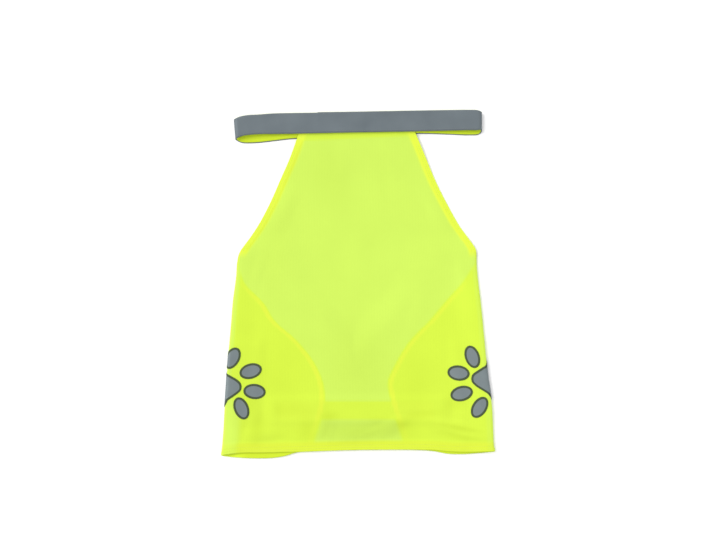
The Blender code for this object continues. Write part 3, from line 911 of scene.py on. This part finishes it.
def model_stitch():
    """One stitch of thread, modelled once: its points, and the faces between them."""
    bpy.ops.object.select_all(action="DESELECT")
    bpy.ops.mesh.primitive_uv_sphere_add(segments=STITCH_SIDES, ring_count=STITCH_RINGS, radius=0.5)
    ball = bpy.context.object
    bpy.ops.object.mode_set(mode="EDIT")
    bpy.ops.transform.rotate(value=math.pi / 2, orient_axis="Y", center_override=(0, 0, 0))
    bpy.ops.transform.resize(value=(STITCH_LENGTH, STITCH_WIDTH, STITCH_HEIGHT), center_override=(0, 0, 0))
    bpy.ops.object.mode_set(mode="OBJECT")
    points = np.array([vert.co for vert in ball.data.vertices])
    faces = [tuple(face.vertices) for face in ball.data.polygons]
    bpy.data.objects.remove(ball, do_unlink=True)
    return points, faces


def stitches(name, seams, material, slot):
    """Copies of one stitch along seam lines, each line a pair of points and normals."""
    shape, faces = model_stitch()
    points, quads = [], []
    for line, normals in seams:
        keep = ~np.isnan(line).any(axis=1) & ~np.isnan(normals).any(axis=1)
        line, normals = line[keep], normals[keep]
        walk = walked(line)
        for at in np.arange(STITCH_PITCH / 2, walk[-1] - STITCH_PITCH / 2, STITCH_PITCH):
            start, middle, end = (
                on_line(walk, line, at + step) for step in (-STITCH_LENGTH / 2, 0.0, STITCH_LENGTH / 2))
            ahead = (end - start) / np.linalg.norm(end - start)
            aside = np.cross(on_line(walk, normals, at), ahead)
            aside /= np.linalg.norm(aside)
            axes = np.array([ahead, aside, np.cross(ahead, aside)])
            quads += [tuple(k + len(points) * len(shape) for k in face) for face in faces]
            points.append(middle + shape @ axes)
    piece = new_piece(name, np.concatenate(points), quads, material)
    piece.data.shade_smooth()
    return settle(piece, slot)


def nearest(places, at):
    """Which of these places lies nearest."""
    return int(np.argmin(np.abs(np.array(places) - at)))


def hem_seams(cloth):
    """Stitch lines of the bottom, armhole and wing hems, on the cloth's outer face."""
    last = cloth.points.shape[1] - 1
    lines = [(nearest(cloth.places, HEM_Y + row), slice(None)) for row in BOTTOM_ROWS]
    armhole = slice(nearest(cloth.places, NECK_HEM_Y), cloth.first_side_row)
    wing = slice(cloth.first_side_row + SEAM_START, nearest(cloth.places, HEM_Y + BOTTOM_HEM))
    depths = [FOLD_DEPTH * (1 - math.cos(math.radians(turn))) for turn in ROLL_TURNS]
    depths += [FOLD_DEPTH + step for step in EDGE_STEPS]
    for row in ARMHOLE_ROWS:
        k = cloth.wing_columns + nearest(depths, row)
        lines += [(armhole, k), (armhole, last - k)]
        k = len(WING_EDGE_STEPS) - 1 - nearest(WING_EDGE_STEPS, row)
        lines += [(wing, k), (wing, last - k)]
    return [(cloth.points[line], cloth.normals[line]) for line in lines]


def box_seam(side):
    """A boxed cross of stitches under an end of the belly strap."""
    way = SIDES[side]
    end = (BELLY_LEFT if side == "left" else BELLY_RIGHT) - way * BOX_INSET
    inner = end - way * BOX_LENGTH
    high, low = BELLY_TOP - BOX_INSET, BELLY_BOTTOM + BOX_INSET
    corners = ((end, high), (inner, high), (inner, low), (end, low), (end, high), (inner, low))
    line = np.array([(x, y, BELLY_LIFT) for x, y in corners])
    return line, np.zeros_like(line) - (0.0, 0.0, 1.0)


# Paw prints


class Skin:
    """The cloth round one side fold, read by distance from its widest line and by y."""

    def __init__(self, cloth, side):
        rows = slice(cloth.first_side_row, None)
        flip = slice(None, None, 1 if side == "left" else -1)
        self.points = cloth.points[rows, flip]
        self.normals = cloth.normals[rows, flip]
        walk = walked(self.points, axis=1)
        self.walk = walk - walk[:, cloth.wing_columns, None]
        self.fold_y = self.points[:, cloth.wing_columns, 1]

    def at(self, distance, y):
        """Point and normal of the cloth at a distance round the fold, at this y."""
        row = int(np.clip(np.searchsorted(-self.fold_y, -y) - 1, 0, len(self.fold_y) - 2))
        both = np.concatenate([self.points, self.normals], axis=2)[row : row + 2]
        upper, lower = (on_line(self.walk[row + k], both[k], distance) for k in range(2))
        found = blend(upper, lower, (upper[1] - y) / (upper[1] - lower[1]))
        return found[:3], found[3:] / np.linalg.norm(found[3:])


def toe_outline(toe):
    """An ellipse in the paw's own axes."""
    turn = math.radians(toe["turn"])
    angle = np.linspace(0, 2 * math.pi, OUTLINE_POINTS, endpoint=False)
    a, b = toe["length"] / 2 * np.cos(angle), toe["width"] / 2 * np.sin(angle)
    x = toe["along"] + a * math.cos(turn) - b * math.sin(turn)
    return np.stack([x, toe["across"] + a * math.sin(turn) + b * math.cos(turn)], axis=1)


def pad_outline():
    """A smooth closed curve through the points round the main pad, evenly divided."""
    corners = np.array([(point["along"], point["across"]) for point in PAD])
    a, b, c, d = (np.roll(corners, -step, axis=0)[:, None, :] for step in (-1, 0, 1, 2))
    t = np.linspace(0.0, 1.0, PAD_PARTS, endpoint=False)[None, :, None]
    ring = b + t / 2 * (c - a + t * (2 * a - 5 * b + 4 * c - d + t * (3 * b - 3 * c + d - a)))
    ring = ring.reshape(-1, 2)
    ring = np.concatenate([ring, ring[:1]])
    walk = walked(ring)
    return on_line(walk, ring, np.linspace(0.0, walk[-1], OUTLINE_POINTS, endpoint=False)).T


def placed(outline, side):
    """A paw outline turned to its place: distance in from the fold, and y."""
    paw, way = PAWS[side], SIDES[side]
    turn = math.radians(paw["turn"])
    x = paw["x"] + outline[:, 0] * math.cos(turn) - outline[:, 1] * math.sin(turn)
    y = paw["y"] + outline[:, 0] * math.sin(turn) + outline[:, 1] * math.cos(turn)
    return np.stack([(along(PANEL, side, y) - x) * way - FOLD_DEPTH + FOLD_ARC, y], axis=1)


# A patch's edge in rings: distance in from the edge, and height over the cloth
PATCH_BORDER = 2.6
PATCH_EDGE = ((0.0, 0.30), (0.15, 0.50), (0.5, 0.62), (1.2, 0.66), (2.0, 0.64), (PATCH_BORDER, 0.56))
FILM_HEIGHT = 0.54
PATCH_WALL = 0.26


def patch_rings(outline):
    """Rings of (place, height) from a patch's edge to its middle."""
    ahead = np.roll(outline, -1, axis=0) - np.roll(outline, 1, axis=0)
    inward = np.stack([-ahead[:, 1], ahead[:, 0]], axis=1)
    inward /= np.linalg.norm(inward, axis=1, keepdims=True)
    middle = outline.mean(axis=0)
    if ((middle - outline) * inward).sum() < 0:
        inward = -inward
    rings = [(outline + inward * depth, height) for depth, height in PATCH_EDGE]
    border = rings[-1][0]
    rings += [(blend(border, middle, share), FILM_HEIGHT) for share in spread(0.0, 1.0, PATCH_RINGS)]
    return rings


def patch(node, outline, skin, film, border):
    """A thin patch on the cloth, with its border as a low lip round it."""
    rows, uv = [], []
    for places, height in patch_rings(outline):
        found = [skin.at(distance, y) for distance, y in places]
        rows.append([point + normal * height for point, normal in found])
        uv.append(places)
    points, uv = np.array(rows), np.array(uv)
    points = np.concatenate([points, points[:, :1]], axis=1)
    uv = np.concatenate([uv, uv[:, :1]], axis=1)
    depth = np.arange(len(points))[:, None] + 0 * points[..., 0]
    piece = surface(node.replace("paw", "film"), points, metres_uv(uv[..., 0], uv[..., 1]), film, ring=depth)
    piece.data.materials.append(border)
    rings = piece.data.attributes["ring"].data
    for face in piece.data.polygons:
        inner = max(rings[k].value for k in face.vertices)
        face.material_index = 1 if inner < len(PATCH_EDGE) - 0.5 else 0
    face_up(piece, skin, outline)
    wall(piece, PATCH_WALL)
    piece.data.attributes.remove(piece.data.attributes["ring"])
    return settle(piece, "reflective_film", node)


def face_up(piece, skin, outline):
    """Turns a patch's faces to look away from the cloth."""
    point, normal = skin.at(*outline[0])
    nearest = min(piece.data.polygons, key=lambda face: (face.center / MM - Vector(point + SHIFT)).length)
    if nearest.normal.dot(Vector(normal)) < 0:
        piece.data.flip_normals()


# Materials


def colour(text):
    """An sRGB hex colour as the linear values that a shader takes."""
    channels = [int(text[k : k + 2], 16) / 255 for k in (0, 2, 4)]
    linear = [c / 12.92 if c <= 0.04045 else ((c + 0.055) / 1.055) ** 2.4 for c in channels]
    return (*linear, 1.0)


def add(tree, kind, inputs=(), to=None, stops=(), **settings):
    """Adds a node with its settings, fills its inputs, and links its first output to a socket.

    An input is a value, a socket, or a node that stands for its first output.
    """
    made = tree.nodes.new("ShaderNode" + kind)
    for name, value in settings.items():
        setattr(made, name, value)
    for name, value in dict(inputs).items():
        if isinstance(value, bpy.types.Node):
            value = value.outputs[0]
        if isinstance(value, bpy.types.NodeSocket):
            tree.links.new(value, made.inputs[name])
        else:
            made.inputs[name].default_value = value
    for k, (place, shade) in enumerate(stops):
        elements = made.color_ramp.elements
        element = elements[k] if k < 2 else elements.new(place)
        element.position, element.color = place, colour(shade)
    if to is not None:
        tree.links.new(made.outputs[0], to)
    return made


def blank(name, **constants):
    """A new material with its shader's constants set, and the sockets for its colour and relief."""
    material = bpy.data.materials.new(name)
    material.use_nodes = True
    tree = material.node_tree
    shader = tree.nodes["Principled BSDF"]
    for key, value in constants.items():
        shader.inputs[key.replace("_", " ").title().replace("Ior", "IOR")].default_value = value
    return material, tree, shader.inputs["Base Color"], shader.inputs["Normal"]


def waves(tree, along_this, pitch):
    """A wave from 0 to 1 with this pitch in millimetres, along a coordinate in metres."""
    turn = add(tree, "Math", {0: along_this, 1: 2 * math.pi / (pitch * MM)}, operation="MULTIPLY")
    wave = add(tree, "Math", {0: turn}, operation="SINE")
    return add(tree, "MapRange", {"Value": wave, "From Min": -1.0, "From Max": 1.0})


# The knit's wales are under 1 mm apart, and drawn this far apart so that they show from a step away
WALE_PITCH = 3.4
LOOP_WIDTH, LOOP_LENGTH = WALE_PITCH / 3, 0.9


def fluorescent_knit():
    """Warp-knitted polyester in fluorescent yellow: matt and a little fuzzy, with upright wales.

    Thin enough that each layer behind it shows as a deeper yellow, and a turned hem as a brighter one.
    """
    material, tree, base, normal = blank(
        "fluorescent_polyester_knit", roughness=0.82, sheen_weight=0.10, sheen_roughness=0.45,
        specular_ior_level=0.22)
    uv = add(tree, "UVMap", uv_map="cloth_uv")
    across, down, _ = add(tree, "SeparateXYZ", {0: uv}).outputs
    # The third attribute is painted light and shade, as a share of the colour
    layers, turned, marks = (
        add(tree, "Attribute", attribute_name=name).outputs["Fac"] for name in ("layers", "turned", "painted_light_and_shade"))
    depth = add(tree, "MapRange", {"Value": layers, "From Min": 1.0, "From Max": 4.0})
    shades = add(tree, "ValToRGB", {0: depth}, stops=(
        (0.0, "BBD953"), (1 / 3, "C0DA3B"), (2 / 3, "CADB3C"), (1.0, "BCD127")))
    hemmed = add(tree, "Mix", {"Factor": turned, 6: shades, 7: colour("C7D937")}, data_type="RGBA")
    wales = waves(tree, across, WALE_PITCH)
    # Clouds a hand's width apart and finer patches break the wales up
    cloudy = add(tree, "TexNoise", {"Vector": uv, "Scale": 22.0, "Detail": 3.0})
    uneven = add(tree, "TexNoise", {"Vector": uv, "Scale": 160.0, "Detail": 2.0})
    patchy = add(tree, "Math", {0: uneven, 1: cloudy}, operation="MULTIPLY")
    faint = add(tree, "Math", {0: wales, 1: patchy}, operation="MULTIPLY")
    shade = add(tree, "MapRange", {"Value": faint, "To Min": 1.0, "To Max": 0.95})
    cloud = add(tree, "MapRange", {"Value": cloudy, "From Min": 0.3, "From Max": 0.7,
                                   "To Min": 0.98, "To Max": 1.01})
    dappled = add(tree, "Math", {0: shade, 1: cloud}, operation="MULTIPLY")
    # Painted shade is also a deeper yellow, and painted light a paler one, as the cloth lights itself
    deep = add(tree, "Math", {0: marks, 1: 2.6}, operation="POWER")
    mark = add(tree, "CombineXYZ", {0: marks, 1: marks, 2: deep})
    marked = add(tree, "VectorMath", {0: hemmed.outputs[2], 1: mark}, operation="MULTIPLY")
    add(tree, "VectorMath", {0: marked, 3: dappled}, base, operation="SCALE")
    rows, courses = waves(tree, across, LOOP_WIDTH), waves(tree, down, LOOP_LENGTH)
    loops = add(tree, "Math", {0: rows, 1: courses}, operation="MULTIPLY")
    relief = add(tree, "Math", {0: loops, 1: wales}, operation="ADD")
    add(tree, "Bump", {"Strength": 0.35, "Distance": 0.06 * MM, "Height": relief}, normal)
    return material


def yellow_webbing():
    """Narrow woven polyester strap: fine ribs across it, a little glossier than the knit."""
    material, tree, base, normal = blank(
        "yellow_polyester_webbing", roughness=0.7, sheen_weight=0.08, specular_ior_level=0.3)
    uv = add(tree, "UVMap", uv_map="cloth_uv")
    round_loop, across, _ = add(tree, "SeparateXYZ", {0: uv}).outputs
    weave = add(tree, "Math", {0: waves(tree, round_loop, 1.6), 1: waves(tree, across, 1.1)},
                operation="MULTIPLY")
    cloudy = add(tree, "TexNoise", {"Vector": uv, "Scale": 60.0, "Detail": 2.0})
    shade = add(tree, "Math", {0: weave, 1: cloudy}, operation="MULTIPLY")
    add(tree, "ValToRGB", {0: shade}, base, stops=((0.0, "BED31A"), (0.6, "CFE22E")))
    add(tree, "Bump", {"Strength": 0.5, "Distance": 0.12 * MM, "Height": weave}, normal)
    return material


def loop_pile():
    """Loop side of a hook and loop strap: a dense matt pile of tiny nylon loops."""
    material, tree, base, normal = blank(
        "yellow_nylon_loop_pile", roughness=0.95, sheen_weight=0.35, sheen_roughness=0.6,
        specular_ior_level=0.1)
    uv = add(tree, "UVMap", uv_map="cloth_uv")
    loops = add(tree, "TexVoronoi", {"Vector": uv, "Scale": 900.0}, feature="SMOOTH_F1")
    cloudy = add(tree, "TexNoise", {"Vector": uv, "Scale": 120.0, "Detail": 4.0})
    pile = add(tree, "Math", {0: loops, 1: cloudy}, operation="MULTIPLY")
    add(tree, "ValToRGB", {0: pile}, base, stops=((0.0, "C9D841"), (0.5, "ADC02D")))
    add(tree, "Bump", {"Strength": 0.8, "Distance": 0.3 * MM, "Height": pile}, normal, invert=True)
    return material


def bead_face(name, light, dark, grain):
    """Glass beads on grey cloth or film: an even satin grey with a fine sandy grain."""
    material, tree, base, normal = blank(name, roughness=0.5, metallic=0.25, specular_ior_level=0.35)
    uv = add(tree, "UVMap", uv_map="cloth_uv")
    # The beads are under a tenth of a millimetre, and their grain is drawn coarser to show
    beads = add(tree, "TexNoise", {"Vector": uv, "Scale": 1.0 / (grain * MM), "Detail": 2.0})
    cloudy = add(tree, "TexNoise", {"Vector": uv, "Scale": 28.0, "Detail": 3.0})
    mixed = add(tree, "Mix", {"Factor": 0.45, 2: cloudy, 3: beads})
    add(tree, "ValToRGB", {0: mixed}, base, stops=((0.3, dark), (0.7, light)))
    rough = normal.node.inputs["Roughness"]
    add(tree, "MapRange", {"Value": beads, "To Min": 0.42, "To Max": 0.6}, rough)
    add(tree, "Bump", {"Strength": 0.25, "Distance": 0.05 * MM, "Height": beads}, normal)
    return material


def dark_border():
    """Dark grey-green ink and adhesive pressed flat round a film patch: matt, a little uneven."""
    material, tree, base, normal = blank("dark_film_border", roughness=0.65, specular_ior_level=0.3)
    uv = add(tree, "UVMap", uv_map="cloth_uv")
    grain = add(tree, "TexNoise", {"Vector": uv, "Scale": 700.0, "Detail": 3.0})
    add(tree, "ValToRGB", {0: grain}, base, stops=((0.3, "313C28"), (0.7, "455138")))
    add(tree, "Bump", {"Strength": 0.3, "Distance": 0.05 * MM, "Height": grain}, normal)
    return material


def thread(name, light, dark):
    """Twisted polyester sewing thread: a soft gloss with the plies as slanting lines."""
    material, tree, base, normal = blank(name, roughness=0.55, sheen_weight=0.1, specular_ior_level=0.4)
    place = add(tree, "TexCoord").outputs["Object"]
    plies = add(tree, "TexWave", {"Vector": place, "Scale": 450.0, "Distortion": 1.0},
                bands_direction="DIAGONAL").outputs["Fac"]
    add(tree, "ValToRGB", {0: plies}, base, stops=((0.0, dark), (1.0, light)))
    add(tree, "Bump", {"Strength": 0.4, "Distance": 0.05 * MM, "Height": plies}, normal)
    return material


def white_sweep():
    """Matt white paper under the vest: near pure white, with hardly any tone of its own."""
    material, tree, base, _ = blank("white_paper_sweep", roughness=0.9, specular_ior_level=0.1)
    place = add(tree, "TexCoord").outputs["Object"]
    cloudy = add(tree, "TexNoise", {"Vector": place, "Scale": 3.0})
    add(tree, "ValToRGB", {0: cloudy}, base, stops=((0.0, "F8F8F8"), (1.0, "FCFCFC")))
    return material


# Sizes that a user would change


class VestSizes(bpy.types.PropertyGroup):
    cloth_wall: bpy.props.FloatProperty(
        name="Cloth thickness", description="Thickness of the knit", default=0.6 * MM,
        min=0.0002, unit="LENGTH")
    strap_wall: bpy.props.FloatProperty(
        name="Strap thickness", description="Thickness of the neck and belly straps", default=0.9 * MM,
        min=0.0003, unit="LENGTH")
    tape_wall: bpy.props.FloatProperty(
        name="Tape thickness", description="Thickness of the reflective tape", default=0.5 * MM,
        min=0.0002, unit="LENGTH")
    sky: bpy.props.FloatProperty(
        name="Soft light", description="Strength of the even light from all round", default=0.965, min=0.0)
    key: bpy.props.FloatProperty(
        name="Key light", description="Strength of the slanting light", default=2.0, min=0.0)


def sizes():
    return bpy.context.scene.vest_sizes


# Operators


class VEST_OT_body_cloth(bpy.types.Operator):
    """Back panel and belly wings in one cut of knit, with their hems and stitches"""

    bl_idname = "vest.body_cloth"
    bl_label = "Body Cloth"

    def execute(self, context):
        cloth = Cloth()
        uv = metres_uv(cloth.walk, cloth.points[..., 1])
        piece = surface("vest_body", cloth.points, uv, fluorescent_knit(), hem=cloth.hem, **cloth.looks())
        wall(piece, sizes().cloth_wall / MM, hem=HEM_RISE)
        settle(piece, "fluorescent_knit", "body_cloth")
        yarn = thread("yellow_sewing_thread", "CDDB45", "BACB3A")
        stitches("hem_stitches", hem_seams(cloth), yarn, "fluorescent_knit")
        return {"FINISHED"}


class VEST_OT_neck_band(bpy.types.Operator):
    """Neck loop: yellow strap with the reflective tape and its stitches on the outside"""

    bl_idname = "vest.neck_band"
    bl_label = "Neck Band"

    def execute(self, context):
        points = band_grid(STRAP + SEAM_GAP, STRAP_INSET, 0.0)
        strap = surface("neck_band_strap", points, band_uv(points), yellow_webbing(), closed=True)
        wall(strap, sizes().strap_wall / MM)
        settle(strap, "strap_webbing", "neck_strap")
        points = band_grid(0.0, 0.0, TAPE_STEP)
        grey = bead_face("glass_bead_tape", "687176", "596267", 0.5)
        tape = surface("neck_band_tape", points, band_uv(points), grey, closed=True)
        wall(tape, sizes().tape_wall / MM)
        settle(tape, "reflective_tape", "neck_tape")
        points = np.concatenate([points, points[:1]])
        normals = outward(points)
        seams = []
        for row in TAPE_ROWS:
            share = row / TAPE_WIDTH * BAND_PARTS
            k = int(share)
            seams.append((blend(points[:, k], points[:, k + 1], share - k), normals[:, k]))
        yarn = thread("grey_sewing_thread", "6C7579", "5B6468")
        sewn = stitches("tape_stitches", seams, yarn, "reflective_tape")
        return {"FINISHED"}


class VEST_OT_belly_strap(bpy.types.Operator):
    """Strap under the belly that joins the two wings"""

    bl_idname = "vest.belly_strap"
    bl_label = "Belly Strap"

    def execute(self, context):
        x = np.linspace(BELLY_LEFT, BELLY_RIGHT, BELLY_STEPS + 1)[:, None]
        y = np.linspace(BELLY_TOP, BELLY_BOTTOM, BELLY_PARTS + 1)[None, :]
        x, y = np.broadcast_arrays(x, y)
        points = np.stack([x, y, BELLY_LIFT + 0 * x], axis=-1)
        piece = surface("belly_band", points, metres_uv(x, y), loop_pile())
        wall(piece, sizes().strap_wall / MM)
        settle(piece, "hook_and_loop", "belly_strap")
        yarn = thread("strap_sewing_thread", "CDDB45", "BACB3A")
        sewn = stitches("belly_stitches", [box_seam(side) for side in SIDES], yarn, "hook_and_loop")
        return {"FINISHED"}


class VEST_OT_paw_prints(bpy.types.Operator):
    """A paw print of reflective film patches over each side fold"""

    bl_idname = "vest.paw_prints"
    bl_label = "Paw Prints"

    def execute(self, context):
        cloth = Cloth()
        film = bead_face("glass_bead_film", "768082", "667073", 0.5)
        border = dark_border()
        for side in SIDES:
            skin = Skin(cloth, side)
            patch(f"paw_{side}_pad", placed(pad_outline(), side), skin, film, border)
            for number, toe in enumerate(TOES, 1):
                outline = placed(toe_outline(toe), side)
                patch(f"paw_{side}_toe_{number}", outline, skin, film, border)
        return {"FINISHED"}


class VEST_OT_stage(bpy.types.Operator):
    """White floor, soft light and a camera straight above"""

    bl_idname = "vest.stage"
    bl_label = "Stage"

    def execute(self, context):
        scene = context.scene
        bpy.ops.object.select_all(action="DESELECT")
        bpy.ops.mesh.primitive_plane_add(size=FLOOR_SIZE * MM, location=(0, 0, -FLOOR_DROP * MM))
        floor = context.object
        floor.name = "floor"
        floor.data.materials.append(white_sweep())
        world = bpy.data.worlds.new("soft_studio")
        world.use_nodes = True
        background = world.node_tree.nodes["Background"]
        background.inputs["Color"].default_value = (1.0, 1.0, 1.0, 1.0)
        background.inputs["Strength"].default_value = sizes().sky
        scene.world = world
        light = bpy.data.lights.new("softbox", "SUN")
        light.energy = sizes().key
        light.angle = math.radians(KEY_SPREAD)
        lamp = bpy.data.objects.new("softbox", light)
        lamp.location = KEY_FROM
        lamp.rotation_euler = (-lamp.location).to_track_quat("-Z", "Y").to_euler()
        scene.collection.objects.link(lamp)
        camera = bpy.data.cameras.new("camera")
        camera.lens, camera.sensor_width = LENS, SENSOR
        camera.clip_end = VIEW_END * MM
        eye = bpy.data.objects.new("camera", camera)
        eye.location = Vector((*VIEW_MIDDLE, VIEW_LEVEL + VIEW_WIDTH * LENS / SENSOR)) * MM
        scene.collection.objects.link(eye)
        scene.camera = eye
        scene.view_settings.view_transform = "Standard"
        return {"FINISHED"}


OPERATORS = (
    VEST_OT_body_cloth,
    VEST_OT_neck_band,
    VEST_OT_belly_strap,
    VEST_OT_paw_prints,
    VEST_OT_stage,
)


class VEST_PT_panel(bpy.types.Panel):
    bl_idname = "VEST_PT_panel"
    bl_label = "Dog Safety Vest"
    bl_space_type = "VIEW_3D"
    bl_region_type = "UI"
    bl_category = "Vest"

    def draw(self, context):
        for name in VestSizes.__annotations__:
            self.layout.prop(context.scene.vest_sizes, name)
        for operator in OPERATORS:
            self.layout.operator(operator.bl_idname)


def register():
    for made in (VestSizes, *OPERATORS, VEST_PT_panel):
        bpy.utils.register_class(made)
    bpy.types.Scene.vest_sizes = bpy.props.PointerProperty(type=VestSizes)


def unregister():
    del bpy.types.Scene.vest_sizes
    for made in (VEST_PT_panel, *OPERATORS[::-1], VestSizes):
        bpy.utils.unregister_class(made)


def main():
    register()
    bpy.ops.vest.body_cloth()
    bpy.ops.vest.neck_band()
    bpy.ops.vest.belly_strap()
    bpy.ops.vest.paw_prints()
    bpy.ops.vest.stage()


if __name__ == "__main__":
    main()
